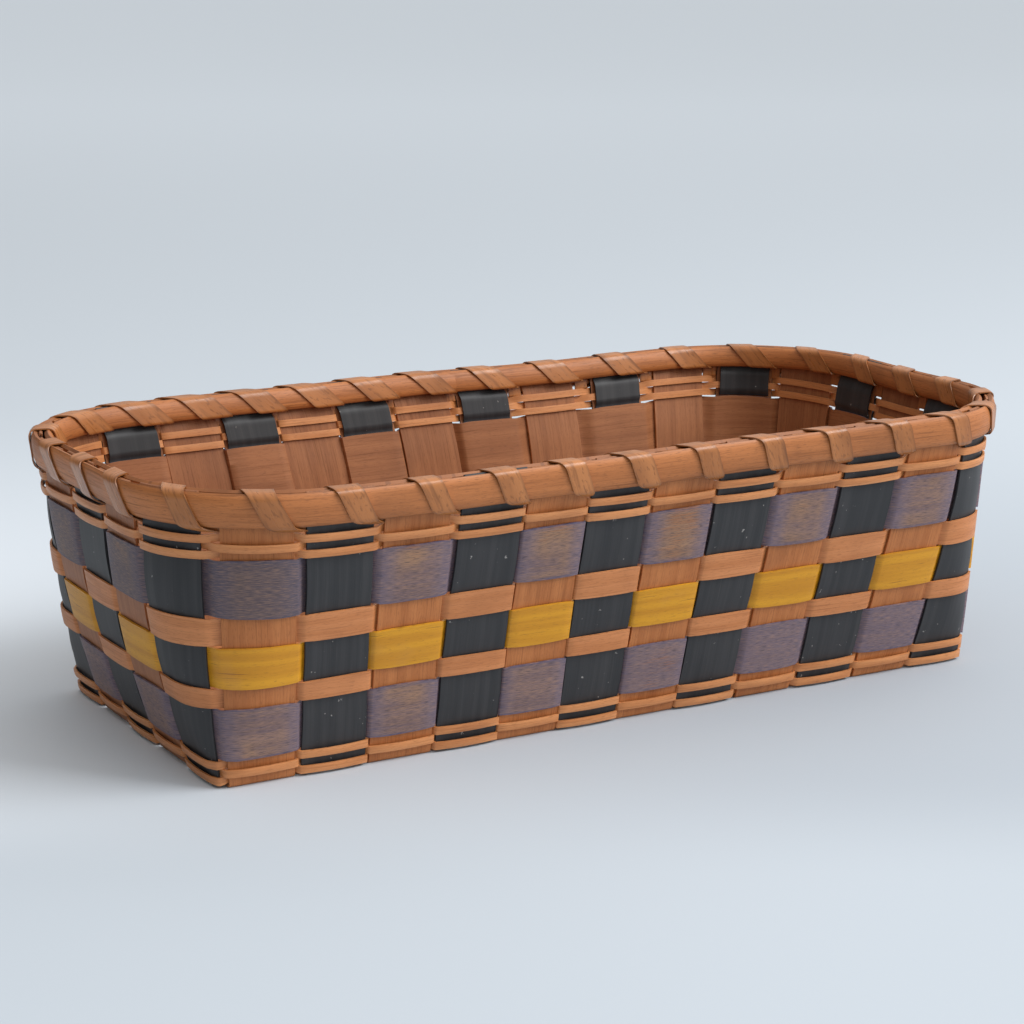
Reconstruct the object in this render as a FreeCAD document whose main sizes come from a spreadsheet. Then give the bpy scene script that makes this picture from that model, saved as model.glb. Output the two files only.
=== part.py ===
"""Woven splint basket: a rectangular open tray of flat wood splints.

Twelve cross stakes and five long stakes are woven over and under each other
in the base, fold up into flaring walls and end between two rim hoops. Eleven
weavers run round the walls, each passing outside every second stake, and one
lashing winds over the hoops and through the gap after each stake.

Millimetres. +X runs along the basket, +Y across it, +Z up. The origin is on
the ground below the middle of the base. Stakes are counted from the front
left corner: along the front, up the right end, back along the rear and down
the left end. Every second stake, from the second, is a dark one: its end is
shaved thin, folded over inside the rim and tucked behind a weaver.
"""

import FreeCAD
import Part
import Sketcher

import math
import os

V = FreeCAD.Vector
UP = V(0, 0, 1)

# Four corners this close to one plane, in mm, make one flat face.
FLAT = 1e-7

# Driving dimensions: alias, millimetres, what it sets.
SIZES = [
    ("base_length", 325.0, "between the end walls' stakes at the base"),
    ("base_width", 137.0, "between the side walls' stakes at the base"),
    ("rim_length", 369.0, "between the end walls' stakes at the rim"),
    ("rim_width", 182.0, "between the side walls' stakes at the rim"),
    ("base_corner", 3.0, "corner radius of the walls at the base"),
    ("rim_corner", 60.0, "corner radius of the walls at the rim"),
    ("stake_width", 25.0, "width of a stake"),
    ("stake_gap", 1.5, "least open gap between one stake and the next"),
    ("stake_thickness", 1.0, "thickness of a stake"),
    ("fold_size", 0.7, "flat across the fold where a stake turns up"),
    ("tail_thickness", 0.6, "thickness of a dark stake's shaved end"),
    ("tail_width", 22.5, "width of that end, below the inner hoop"),
    ("tail_tuck", 5.0, "how far a shaved end reaches behind the weaver"),
    ("weaver_thickness", 0.8, "thickness of every weaver"),
    ("weave_gap", 0.1, "play between a stake and what crosses it"),
    ("turn_margin", 0.25, "how far a weaver runs past a stake, then crosses"),
    ("row_gap", 0.15, "play between one weaver's edge and the next"),
    ("first_row", 2.0, "height of the lowest weaver inside the stakes"),
    ("first_dip", 0.8, "how much lower it lies outside the stakes"),
    ("base_band", 2.8, "width of the narrow weavers at the base"),
    ("lower_blue", 19.3, "width of the lower blue weaver"),
    ("lower_plain", 7.2, "width of the plain weaver below the yellow one"),
    ("yellow", 15.0, "width of the yellow weaver"),
    ("upper_plain", 10.0, "width of the plain weaver above the yellow one"),
    ("upper_blue", 21.0, "width of the upper blue weaver"),
    ("top_band", 2.7, "width of the narrow weavers below the rim"),
    ("lashing_slot", 3.2, "open wall between the top weaver and the hoops"),
    ("hoop_height", 11.5, "height of the outer hoop"),
    ("inner_hoop_height", 8.0, "height of the inner hoop, level with it at the top"),
    ("hoop_thickness", 3.0, "thickness of each rim hoop"),
    ("hoop_ease", 10.0, "extra corner radius of the inner hoop"),
    ("hoop_play", 0.35, "play between the inner hoop and a dark stake's end"),
    ("scarf_length", 30.0, "length of the slanting joint in each hoop"),
    ("scarf_gap", 1.5, "width of that joint, measured along the rim"),
    ("rim_clear", 0.1, "play between the outer hoop and the stakes, and round the lashing"),
    ("fold_over", 0.3, "how far below the hoops' top a stake ends"),
    ("lashing_width", 9.3, "width of the lashing, measured along the rim"),
    ("lashing_thickness", 0.5, "thickness of the lashing"),
    ("lashing_play", 0.4, "clearance of the lashing round the hoops"),
    ("lashing_slant", 6.6, "its advance from the foot of a hoop to the top"),
    ("lashing_cross", 5.0, "its advance across the top of the hoops"),
    ("lashing_pinch", 1.9, "its width where it is drawn between two stakes"),
]

# The weavers from the base up: name, the size that is its width, and which
# stakes it passes outside.
ROWS = [
    ("base_weaver_1", "base_band", "dark"),
    ("base_weaver_2", "base_band", "plain"),
    ("base_weaver_3", "base_band", "dark"),
    ("lower_blue_weaver", "lower_blue", "plain"),
    ("lower_plain_weaver", "lower_plain", "dark"),
    ("yellow_weaver", "yellow", "plain"),
    ("upper_plain_weaver", "upper_plain", "dark"),
    ("upper_blue_weaver", "upper_blue", "plain"),
    ("top_weaver_1", "top_band", "dark"),
    ("top_weaver_2", "top_band", "plain"),
    ("top_weaver_3", "top_band", "dark"),
]


def new_sheet(doc):
    """The driving dimensions as a spreadsheet, one aliased cell each."""
    sheet = doc.addObject("Spreadsheet::Sheet", "Sizes")
    for row, (alias, value, meaning) in enumerate(SIZES, start=1):
        sheet.set(f"A{row}", alias)
        sheet.set(f"B{row}", str(value))
        sheet.set(f"C{row}", meaning)
        sheet.setAlias(f"B{row}", alias)
    doc.recompute()
    return sheet


doc = FreeCAD.newDocument("basket")
sheet = new_sheet(doc)
size = {alias: float(sheet.get(alias)) for alias, _, _ in SIZES}

# ------------------------------------------------- what follows from the sizes
def stake_count(length):
    """How many stakes fit side by side along the base, from halfway round one
    corner to halfway round the next."""
    corner = size["base_corner"]
    room = size[length] - 2 * corner + corner * math.pi / 2
    return math.floor(room / (size["stake_width"] + size["stake_gap"]))


CROSS = stake_count("base_length")
LONG = stake_count("base_width")
STAKES = 2 * (CROSS + LONG)
HALF_STAKE = size["stake_thickness"] / 2
HALF_WEAVER = size["weaver_thickness"] / 2
HALF_TAIL = size["tail_thickness"] / 2
GAP = size["weave_gap"]

# In the base the stakes lie this far above and below its middle height.
BASE_STEP = (size["stake_thickness"] + GAP) / 2
BASE_MIDDLE = BASE_STEP + HALF_STAKE
# Distances inwards or outwards from the middle of a stake's thickness: a
# weaver, a tail against its stake, a tail hung over a weaver, and the blue
# weaver that holds the tails.
WEAVER_STEP = HALF_STAKE + GAP + HALF_WEAVER
TAIL_STEP = HALF_STAKE + GAP + HALF_TAIL
HUNG_STEP = WEAVER_STEP + HALF_WEAVER + GAP + HALF_TAIL
TUCKED_STEP = TAIL_STEP + HALF_TAIL + GAP + HALF_WEAVER

# The same heights and seats as expressions, for the hoops' sketches.
BASE_FORMULA = "Sizes.stake_thickness + Sizes.weave_gap / 2"
FOOT_FORMULA = (
    "Sizes.first_row - Sizes.first_dip / 2"
    + "".join(f" + Sizes.{width} + Sizes.row_gap" for _, width, _ in ROWS)
    + " - Sizes.row_gap + Sizes.lashing_slot"
)
RIM_FORMULA = f"{FOOT_FORMULA} + Sizes.hoop_height"
INNER_FOOT_FORMULA = f"{RIM_FORMULA} - Sizes.inner_hoop_height"
OUTER_FORMULA = "(Sizes.stake_thickness / 2 + Sizes.rim_clear)"
INNER_FORMULA = (
    "-(Sizes.stake_thickness / 2 + Sizes.weave_gap + Sizes.tail_thickness + Sizes.hoop_play)"
)
HOOP_FOOT = float(sheet.evalExpression(FOOT_FORMULA))
RIM = float(sheet.evalExpression(RIM_FORMULA))
INNER_FOOT = float(sheet.evalExpression(INNER_FOOT_FORMULA))
OUTER_SEAT = float(sheet.evalExpression(OUTER_FORMULA))
INNER_SEAT = float(sheet.evalExpression(INNER_FORMULA))


def row_heights():
    """{name: (lower edge, upper edge)} of every weaver, from the base up."""
    heights = {}
    low = size["first_row"] - size["first_dip"] / 2
    for name, width, _ in ROWS:
        heights[name] = (low, low + size[width])
        low += size[width] + size["row_gap"]
    return heights


HEIGHTS = row_heights()
STAKE_TOP = RIM - size["fold_over"]


# ------------------------------------------------------------------- the walls
def outline(height, offset=0.0, ease=0.0):
    """(half length, half width, corner radius) of the stakes at a height,
    pushed outwards by an offset, with the corners eased to a larger radius."""
    level = (height - BASE_MIDDLE) / (RIM - BASE_MIDDLE)

    def between(low, high):
        return size[low] + (size[high] - size[low]) * level

    return (
        between("base_length", "rim_length") / 2 + offset,
        between("base_width", "rim_width") / 2 + offset,
        between("base_corner", "rim_corner") + offset + ease,
    )


# The sides in order round the basket: direction of travel, outwards, number
# of stakes, and which halves of the outline it spans and stands at.
SIDES = [
    (V(1, 0, 0), V(0, -1, 0), CROSS, (0, 1)),
    (V(0, 1, 0), V(1, 0, 0), LONG, (1, 0)),
    (V(-1, 0, 0), V(0, 1, 0), CROSS, (0, 1)),
    (V(0, -1, 0), V(-1, 0, 0), LONG, (1, 0)),
]


def side_at(count):
    """(side, place on it) of a place counted in stakes round the basket."""
    count %= STAKES
    for side in SIDES:
        if count < side[2]:
            return side, count
        count -= side[2]
    raise ValueError("no such place")


def pitch(side, shape):
    """Distance between stakes on a side, whose ends are halfway round the
    corners of the outline."""
    half, corner = shape[side[3][0]], shape[2]
    return (2 * (half - corner) + corner * math.pi / 2) / side[2]


def point_on_side(side, distance, shape):
    """The point at a distance along a side from its middle."""
    travel, out, _, (spans, stands) = side
    corner = shape[2]
    straight = shape[spans] - corner
    past = abs(distance) - straight
    if past <= 0:
        return travel * distance + out * shape[stands]
    turn = past / corner
    along = math.copysign(straight + corner * math.sin(turn), distance)
    return travel * along + out * (shape[stands] - corner * (1 - math.cos(turn)))


def frame_at(count, height, shape, spread):
    """Middle, direction and outward normal of a chord of the outline, spread
    that wide about a place counted in stakes."""
    side, place = side_at(count)
    middle = (place - side[2] / 2) * pitch(side, shape)
    ends = [
        point_on_side(side, middle + step, shape) + UP * height
        for step in (-spread / 2, spread / 2)
    ]
    tangent = (ends[1] - ends[0]).normalize()
    return (ends[0] + ends[1]) * 0.5, tangent, tangent.cross(UP)


def stake_frame(stake, height):
    """Middle, direction and outward normal of a stake at a height."""
    return frame_at(stake + 0.5, height, outline(height), size["stake_width"])


def is_dark(stake):
    return stake % 2 == 1


def is_last(stake):
    """Whether a stake is the first or the last of its side."""
    side, place = side_at(stake)
    return place in (0, side[2] - 1)


def turns_corner(stake):
    """Whether a stake reaches the rounded corner at the rim."""
    side, place = side_at(stake)
    shape = outline(RIM)
    middle = abs(place + 0.5 - side[2] / 2) * pitch(side, shape)
    return middle + size["stake_width"] / 2 > shape[side[3][0]] - shape[2]


# ------------------------------------------------------------------ the strips
def section(middle, across, through):
    """The corners of a strip's cross-section, from half its width across and
    half its thickness through."""
    return [
        middle - across - through,
        middle + across - through,
        middle + across + through,
        middle - across + through,
    ]


def flat_face(corners):
    return Part.Face(Part.makePolygon(corners + corners[:1]))


def panel(one, two, three, four):
    """The face between four corners, creased from the second corner to the
    fourth where they aren't in one plane."""
    normal = (two - one).cross(four - one)
    if abs(normal.dot(three - one)) < FLAT * normal.Length:
        return [flat_face([one, two, three, four])]
    return [flat_face([one, two, four]), flat_face([two, three, four])]


def strip(sections):
    """One splint: panels between its cross-sections, closed at both ends.
    Both broad faces are creased along the same diagonal."""
    faces = [flat_face(sections[0][::-1]), flat_face(sections[-1])]
    for near, far in zip(sections, sections[1:]):
        faces += panel(near[0], near[1], far[1], far[0])
        faces += panel(near[1], near[2], far[2], far[1])
        faces += panel(near[3], far[3], far[2], near[2])
        faces += panel(near[3], near[0], far[0], far[3])
    solid = Part.makeSolid(Part.makeShell(faces))
    if solid.Volume < 0:
        solid.reverse()
    return solid


# ----------------------------------------------------------------- the weavers
def weaver(name, outside):
    """A weaver: outside one kind of stake and inside the other, all round,
    with its two ends meeting behind one stake of the rear wall."""
    low, high = HEIGHTS[name]
    dip = size["first_dip"] / 2 if name == "base_weaver_1" else 0.0
    inside_step = TUCKED_STEP if name == "upper_blue_weaver" else WEAVER_STEP
    run = size["stake_width"] / 2 + size["turn_margin"]

    def is_outside(stake):
        return is_dark(stake) == (outside == "dark")

    def on_stake(stake, along):
        """The weaver's section at a distance along a stake's face."""
        step = WEAVER_STEP if is_outside(stake) else -inside_step
        lift = -dip if is_outside(stake) else dip
        corners = []
        for height, through in (
            (high, -HALF_WEAVER),
            (low, -HALF_WEAVER),
            (low, HALF_WEAVER),
            (high, HALF_WEAVER),
        ):
            middle, tangent, out = stake_frame(stake, height)
            corner = middle + tangent * along + out * (step + through)
            corners.append(corner + UP * lift)
        return corners

    joint = CROSS + LONG + CROSS // 2
    if is_outside(joint):
        joint += 1
    sections = [on_stake(joint, GAP), on_stake(joint, run)]
    for stake in range(joint + 1, joint + STAKES):
        sections += [on_stake(stake, -run), on_stake(stake, run)]
    sections += [on_stake(joint, -run), on_stake(joint, -GAP)]
    return strip(sections)


# ------------------------------------------------------------------ the stakes
def wall_sections(stake, facing):
    """A stake's sections down its wall, from the top end. A dark stake starts
    with its tail, which hangs inside and is tucked behind the upper blue
    weaver, or on the twisted wall at a corner stops above it. facing is 1, or
    -1 for a mirrored strip."""
    width, thickness = size["stake_width"], size["stake_thickness"]
    tail = size["tail_thickness"]

    def at(height, inwards, out_share, up_share, thick, wide=width):
        middle, tangent, out = stake_frame(stake, height)
        through = (out * out_share + UP * up_share) * (thick / 2)
        return section(middle - out * inwards, tangent * (wide / 2 * facing), through)

    def on_tail(height, inwards):
        return at(height, inwards, 1, 0, tail, size["tail_width"])

    sections = []
    bend = STAKE_TOP
    if is_dark(stake):
        held = HEIGHTS["upper_blue_weaver"][1]
        hung_low, hung_high = HEIGHTS["top_weaver_2"]
        bend = STAKE_TOP - tail - GAP
        tucked = [on_tail(held - size["tail_tuck"], TAIL_STEP)]
        sections = ([] if is_last(stake) else tucked) + [
            on_tail(held, TAIL_STEP),
            on_tail(hung_low, HUNG_STEP),
            on_tail(hung_high, HUNG_STEP),
            on_tail(HEIGHTS["top_weaver_3"][1], TAIL_STEP),
            on_tail(INNER_FOOT, TAIL_STEP),
            at(bend, TAIL_STEP, 1, 0, tail),
            at(STAKE_TOP - HALF_TAIL, HALF_STAKE + GAP / 2, 0, -1, tail),
        ]
    sections.append(at(bend, 0, -1, 0, thickness))
    if turns_corner(stake):
        # One at the foot of every row but the first and the last two, and one
        # above them all.
        creases = [HEIGHTS[name][0] for name, _, _ in ROWS[1:-2]]
        creases.append(HEIGHTS["top_weaver_3"][1])
        for height in reversed(creases):
            sections.append(at(height, 0, -1, 0, thickness))
    return sections


def fold_sections(stake, facing, base_offset):
    """The two sections where a stake folds from its wall into the base."""
    half_width = size["stake_width"] / 2
    fold = size["fold_size"]
    height = BASE_MIDDLE + base_offset
    foot, _, out = stake_frame(stake, height)
    raised, tangent, _ = stake_frame(stake, height + fold)
    along_base = side_at(stake)[0][0] * facing
    # Half the thickness, measured along the mitre of a 45 degree bend.
    mitre = HALF_STAKE / math.cos(math.pi / 8)
    long_share = mitre * math.cos(math.pi / 8)
    short_share = mitre * math.sin(math.pi / 8)
    return [
        section(
            raised,
            tangent * (half_width * facing),
            out * -long_share + UP * short_share,
        ),
        section(
            foot - out * fold,
            along_base * half_width,
            out * -short_share + UP * long_share,
        ),
    ]


def base_places(stakes, direction):
    """Where stakes lie in the base, measured along a direction."""
    shape = outline(BASE_MIDDLE)
    places = []
    for stake in stakes:
        side, place = side_at(stake)
        distance = (place + 0.5 - side[2] / 2) * pitch(side, shape)
        places.append(side[0].dot(direction) * distance)
    return sorted(places)


def folded_stake(first, last, crossed, offset):
    """A stake: down one wall, across the base and up the opposite wall. It
    passes the crossed stakes at an offset from the base's middle height."""
    half_width = size["stake_width"] / 2
    across = side_at(first)[0][0]
    forward = UP.cross(across)
    start = across * base_places([first], across)[0] + UP * BASE_MIDDLE
    places = base_places(crossed, forward)

    def in_base(number, step):
        middle = start + forward * (places[number] + step) + UP * offset(number)
        return section(middle, across * half_width, UP * HALF_STAKE)

    sections = wall_sections(first, 1)
    sections += fold_sections(first, 1, offset(0))
    for number in range(len(places)):
        if number > 0:
            sections.append(in_base(number, -half_width))
        if number < len(places) - 1:
            sections.append(in_base(number, half_width))
    final = wall_sections(last, -1)
    final += fold_sections(last, -1, offset(len(places) - 1))
    return strip(sections + final[::-1])


def cross_stake(number):
    """A stake across the base, up the front and the rear wall."""
    rear = CROSS + LONG + CROSS - 1 - number
    crossed = range(CROSS, CROSS + LONG)

    def offset(other):
        return -BASE_STEP if (number + other) % 2 == 0 else BASE_STEP

    return folded_stake(number, rear, crossed, offset)


def long_stake(number):
    """A stake along the base, up the right and the left wall, always on the
    other side of each cross stake."""
    left = STAKES - 1 - number

    def offset(other):
        return BASE_STEP if (CROSS - 1 - other + number) % 2 == 0 else -BASE_STEP

    return folded_stake(CROSS + number, left, range(CROSS), offset)


# ----------------------------------------------------------------- the lashing
def lashing():
    """The lashing: in through the gap after each stake, up inside the hoops,
    over them and down outside, advancing round the rim as it goes."""
    half_thick = size["lashing_thickness"] / 2
    clear = size["lashing_play"] + half_thick
    reach = size["hoop_thickness"] + clear
    foot, top = HOOP_FOOT - clear, RIM + clear
    inner_foot = INNER_FOOT - clear
    slot = HOOP_FOOT - size["lashing_slot"] / 2
    # Stations of one turn: height, offset from the stakes, which way the
    # inner face looks (outwards, upwards), whether the lashing is pinched.
    turn = [
        (slot, -HALF_STAKE, (1, 1), True),
        (inner_foot, -HALF_STAKE, (1, 1), True),
        (inner_foot, INNER_SEAT - reach, (1, 1), False),
        (top, INNER_SEAT - reach, (1, -1), False),
        (top, OUTER_SEAT + reach, (-1, -1), False),
        (foot, OUTER_SEAT + reach, (-1, 1), False),
        (slot, OUTER_SEAT + size["rim_clear"], (0, 1), True),
    ]

    def station(count, height, offset, faces, pinched):
        width = size["lashing_pinch"]
        if pinched:
            middle, tangent, out = frame_at(count, height, outline(height), width)
            middle += out * offset
        else:
            ease = size["hoop_ease"] if offset < 0 else 0.0
            shape = outline(height, offset, ease)
            middle, tangent, out = frame_at(count, height, shape, width)
            width = size["lashing_width"]
        through = (out * faces[0] + UP * faces[1]) * half_thick
        return section(middle, tangent * (width / 2), through)

    sections = []
    first_gap = CROSS + LONG + CROSS // 2
    for gap in range(first_gap, first_gap + STAKES):
        spacing = pitch(side_at(gap)[0], outline(RIM))
        slant = size["lashing_slant"] / spacing
        cross = size["lashing_cross"] / spacing
        lead = (1 - 2 * slant - cross) / 2
        advances = [0, 0, lead, slant, cross, slant, lead]
        count = gap
        for advance, place in zip(advances, turn):
            count += advance
            sections.append(station(count, *place))
    return strip(sections)


# ------------------------------------------------------------------- the hoops
def ring_sketch(body, name, height, offsets, ease):
    """A sketch at a height with one rounded rectangle for each offset of the
    stakes' outline, its sizes bound to the sheet."""
    sketch = body.newObject("Sketcher::SketchObject", name)
    planes = body.Origin.OriginFeatures
    sketch.AttachmentSupport = [next(o for o in planes if o.Role == "XY_Plane")]
    sketch.MapMode = "FlatFace"
    sketch.setExpression("AttachmentOffset.Base.z", height)
    share = f"(({height}) - ({BASE_FORMULA})) / (({RIM_FORMULA}) - ({BASE_FORMULA}))"

    def between(low, high):
        return f"(Sizes.{low} + (Sizes.{high} - Sizes.{low}) * {share})"

    for offset in offsets:
        radius = f"({between('base_corner', 'rim_corner')} + {offset} + {ease})"
        straight = f"2 * ({offset} - {radius})"
        add_rounded_rectangle(
            sketch,
            radius,
            f"{between('base_length', 'rim_length')} + {straight}",
            f"{between('base_width', 'rim_width')} + {straight}",
        )
    return sketch


def add_rounded_rectangle(sketch, radius, length, width):
    """Adds a centred rounded rectangle. The three sizes are expressions: the
    corner radius, and the distances between the corners' centres."""
    value = {
        name: float(sheet.evalExpression(formula))
        for name, formula in (("r", radius), ("x", length), ("y", width))
    }
    first = sketch.GeometryCount
    for x, y, start in ((1, -1, -90), (1, 1, 0), (-1, 1, 90), (-1, -1, 180)):
        centre = V(x * value["x"] / 2, y * value["y"] / 2, 0)
        circle = Part.Circle(centre, UP, value["r"])
        ends = math.radians(start), math.radians(start + 90)
        sketch.addGeometry(Part.ArcOfCircle(circle, *ends))
    arcs = list(range(first, first + 4))
    for here, after in zip(arcs, arcs[1:] + arcs[:1]):
        start = sketch.Geometry[here].EndPoint
        end = sketch.Geometry[after].StartPoint
        line = sketch.addGeometry(Part.LineSegment(start, end))
        sketch.addConstraint(Sketcher.Constraint("Tangent", here, 2, line, 1))
        sketch.addConstraint(Sketcher.Constraint("Tangent", line, 2, after, 1))
    right, rear = first + 4, first + 5
    sketch.addConstraint(Sketcher.Constraint("Vertical", right))
    sketch.addConstraint(Sketcher.Constraint("Horizontal", rear))
    for arc in arcs[1:3]:
        sketch.addConstraint(Sketcher.Constraint("Equal", first, arc))
    origin = (-1, 1)
    opposite = (arcs[0], 3, arcs[2], 3)
    sketch.addConstraint(Sketcher.Constraint("Symmetric", *opposite, *origin))
    bound = [
        (Sketcher.Constraint("Radius", first, value["r"]), radius),
        (Sketcher.Constraint("DistanceX", arcs[2], 3, arcs[0], 3, value["x"]), length),
        (Sketcher.Constraint("DistanceY", arcs[0], 3, arcs[2], 3, value["y"]), width),
    ]
    for constraint, formula in bound:
        index = sketch.addConstraint(constraint)
        sketch.setExpression(f"Constraints[{index}]", formula)


def joint_sketch(body, name, inner, outer):
    """A sketch of a hoop's joint: a slot that slants across the middle of the
    rear side, from one expression for its distance from the centre to another."""
    sketch = body.newObject("Sketcher::SketchObject", name)
    planes = body.Origin.OriginFeatures
    sketch.AttachmentSupport = [next(o for o in planes if o.Role == "XY_Plane")]
    sketch.MapMode = "FlatFace"
    low, high = (float(sheet.evalExpression(formula)) for formula in (inner, outer))
    half, gap = size["scarf_length"] / 2, size["scarf_gap"]
    corners = [
        V(-half, low, 0),
        V(-half + gap, low, 0),
        V(half, high, 0),
        V(half - gap, high, 0),
    ]
    for start, end in zip(corners, corners[1:] + corners[:1]):
        sketch.addGeometry(Part.LineSegment(start, end))
    for line in range(4):
        after = (line + 1) % 4
        sketch.addConstraint(Sketcher.Constraint("Coincident", line, 2, after, 1))
    for line in (0, 2):
        sketch.addConstraint(Sketcher.Constraint("Horizontal", line))
    sketch.addConstraint(Sketcher.Constraint("Equal", 0, 2))
    bound = [
        (Sketcher.Constraint("DistanceX", 0, 1, 0, 2, gap), "Sizes.scarf_gap"),
        (Sketcher.Constraint("DistanceX", 0, 1, 2, 1, 2 * half), "Sizes.scarf_length"),
        (Sketcher.Constraint("DistanceX", 0, 1, -1, 1, half), "Sizes.scarf_length / 2"),
        (Sketcher.Constraint("DistanceY", -1, 1, 0, 1, low), inner),
        (Sketcher.Constraint("DistanceY", -1, 1, 2, 1, high), outer),
    ]
    for constraint, formula in bound:
        index = sketch.addConstraint(constraint)
        sketch.setExpression(f"Constraints[{index}]", formula)
    return sketch


def hoop(name, foot_height, seat, outwards, ease):
    """A rim hoop: a flat band that flares with the wall, closed by a slanting
    joint in the middle of the rear side. seat is the offset of its face
    against the stakes, and outwards says on which side of them it lies."""
    away = f"({seat} {'+' if outwards else '-'} Sizes.hoop_thickness)"
    body = doc.addObject("PartDesign::Body", name)
    foot = ring_sketch(body, f"{name}_foot", foot_height, (away, seat), ease)
    head = ring_sketch(body, f"{name}_head", RIM_FORMULA, (away, seat), ease)
    doc.recompute()
    ring = body.newObject("PartDesign::AdditiveLoft", f"{name}_ring")
    ring.Profile = foot
    ring.Sections = [head]
    ring.Ruled = True
    foot.Visibility = head.Visibility = False
    doc.recompute()

    # The slot starts and ends clear of both faces, at the foot and at the head.
    spare = "Sizes.hoop_thickness"
    inner = f"Sizes.base_width / 2 + {seat} - 2 * {spare}"
    outer = f"Sizes.rim_width / 2 + {seat} + 2 * {spare}"
    slot = joint_sketch(body, f"{name}_joint_plan", inner, outer)
    joint = body.newObject("PartDesign::Pocket", f"{name}_joint")
    joint.Profile = slot
    joint.Type = "ThroughAll"
    joint.Reversed = True
    slot.Visibility = False
    body.Tip = joint
    doc.recompute()
    return body


# ---------------------------------------------------------------- the assembly
def add_strip(name, shape):
    """A woven strip as an object of the document. Its bends follow the weave,
    so its shape is made from the sheet's sizes by the functions above."""
    feature = doc.addObject("Part::Feature", name)
    feature.Shape = shape
    feature.Placement = FreeCAD.Placement(V(0, 0, 0), FreeCAD.Rotation())
    return feature


def build():
    """Every sub-part, from the base up."""
    parts = []
    for number in range(CROSS):
        parts.append(add_strip(f"cross_stake_{number + 1:02d}", cross_stake(number)))
    for number in range(LONG):
        parts.append(add_strip(f"long_stake_{number + 1}", long_stake(number)))
    for name, _, outside in ROWS:
        parts.append(add_strip(name, weaver(name, outside)))
    parts.append(hoop("outer_hoop", FOOT_FORMULA, OUTER_FORMULA, True, "0"))
    ease = "Sizes.hoop_ease"
    parts.append(hoop("inner_hoop", INNER_FOOT_FORMULA, INNER_FORMULA, False, ease))
    parts.append(add_strip("rim_lashing", lashing()))
    for part in parts:
        part.Label = part.Name
    return parts


def check(parts):
    """Stops if any object failed or any sub-part isn't one sound solid."""
    for item in doc.Objects:
        if "Invalid" in item.State or "Error" in item.State:
            raise RuntimeError(f"{item.Name} failed: {item.State}")
    for part in parts:
        shape = part.Shape
        if shape.isNull() or not shape.isValid() or len(shape.Solids) != 1:
            raise RuntimeError(f"{part.Label} isn't one sound solid")


parts = build()
doc.recompute()
check(parts)
os.makedirs("parts", exist_ok=True)
for part in parts:
    part.Shape.exportStep(f"parts/{part.Label}.step")
    print(f"{part.Label}: {part.Shape.Volume:.0f} mm3")
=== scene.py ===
# %% A woven basket of flat wood splints
import math
import random

import bmesh
import bpy
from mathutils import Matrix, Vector, noise


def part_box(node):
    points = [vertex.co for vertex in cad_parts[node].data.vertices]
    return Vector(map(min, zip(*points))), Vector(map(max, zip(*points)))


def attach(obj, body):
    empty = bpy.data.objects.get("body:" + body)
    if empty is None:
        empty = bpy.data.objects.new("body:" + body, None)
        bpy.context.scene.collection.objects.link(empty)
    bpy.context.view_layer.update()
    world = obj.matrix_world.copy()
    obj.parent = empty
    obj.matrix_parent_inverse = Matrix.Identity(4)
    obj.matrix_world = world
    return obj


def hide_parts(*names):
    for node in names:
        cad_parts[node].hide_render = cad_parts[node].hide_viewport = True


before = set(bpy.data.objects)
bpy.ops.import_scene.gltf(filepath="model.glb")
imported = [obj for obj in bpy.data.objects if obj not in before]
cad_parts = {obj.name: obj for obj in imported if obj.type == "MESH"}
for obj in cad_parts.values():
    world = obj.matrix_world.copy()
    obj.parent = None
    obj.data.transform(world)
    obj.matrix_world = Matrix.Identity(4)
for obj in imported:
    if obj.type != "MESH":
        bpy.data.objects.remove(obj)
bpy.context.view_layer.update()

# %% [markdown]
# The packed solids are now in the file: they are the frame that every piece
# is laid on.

MM = 0.001
print("solids in the frame:", len(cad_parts))

# %% [markdown]
# A basket is easier to describe round its wall than in x, y and z. These are
# the maker's sizes in millimetres: how many upright splints, which we call
# stakes, stand along each side, how large the wall is at its foot and at its
# rim, and how thick the splints are. The heights of the woven rows are read
# from the solids, so they can't drift apart from them.

# %% The sizes of the basket
CROSS, LONG = 12, 5
STAKES = 2 * (CROSS + LONG)
FOOT = {"x": 162.5, "y": 68.5, "corner": 3.0}
TOP = {"x": 184.5, "y": 91.0, "corner": 60.0}
STAKE_THICK, WEAVER_THICK, TAIL_THICK = 1.0, 0.8, 0.6
HALF_WIDTH, HALF_TAIL = 12.5, 11.25
PLAY = 0.1
HOOP_THICK = 3.0

# How far each layer stands from the middle of the stakes. A tail is an end of
# a stake that is folded over inside the rim.
BASE_STEP = (STAKE_THICK + PLAY) / 2
BASE_MIDDLE = BASE_STEP + STAKE_THICK / 2
WEAVER_STEP = STAKE_THICK / 2 + PLAY + WEAVER_THICK / 2
TAIL_STEP = STAKE_THICK / 2 + PLAY + TAIL_THICK / 2
HUNG_STEP = WEAVER_STEP + WEAVER_THICK / 2 + PLAY + TAIL_THICK / 2
TUCKED_STEP = TAIL_STEP + TAIL_THICK / 2 + PLAY + WEAVER_THICK / 2
OUTER_SEAT = STAKE_THICK / 2 + PLAY
INNER_SEAT = -(STAKE_THICK / 2 + PLAY + TAIL_THICK + 0.35)
INNER_EASE = 1.0

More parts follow.
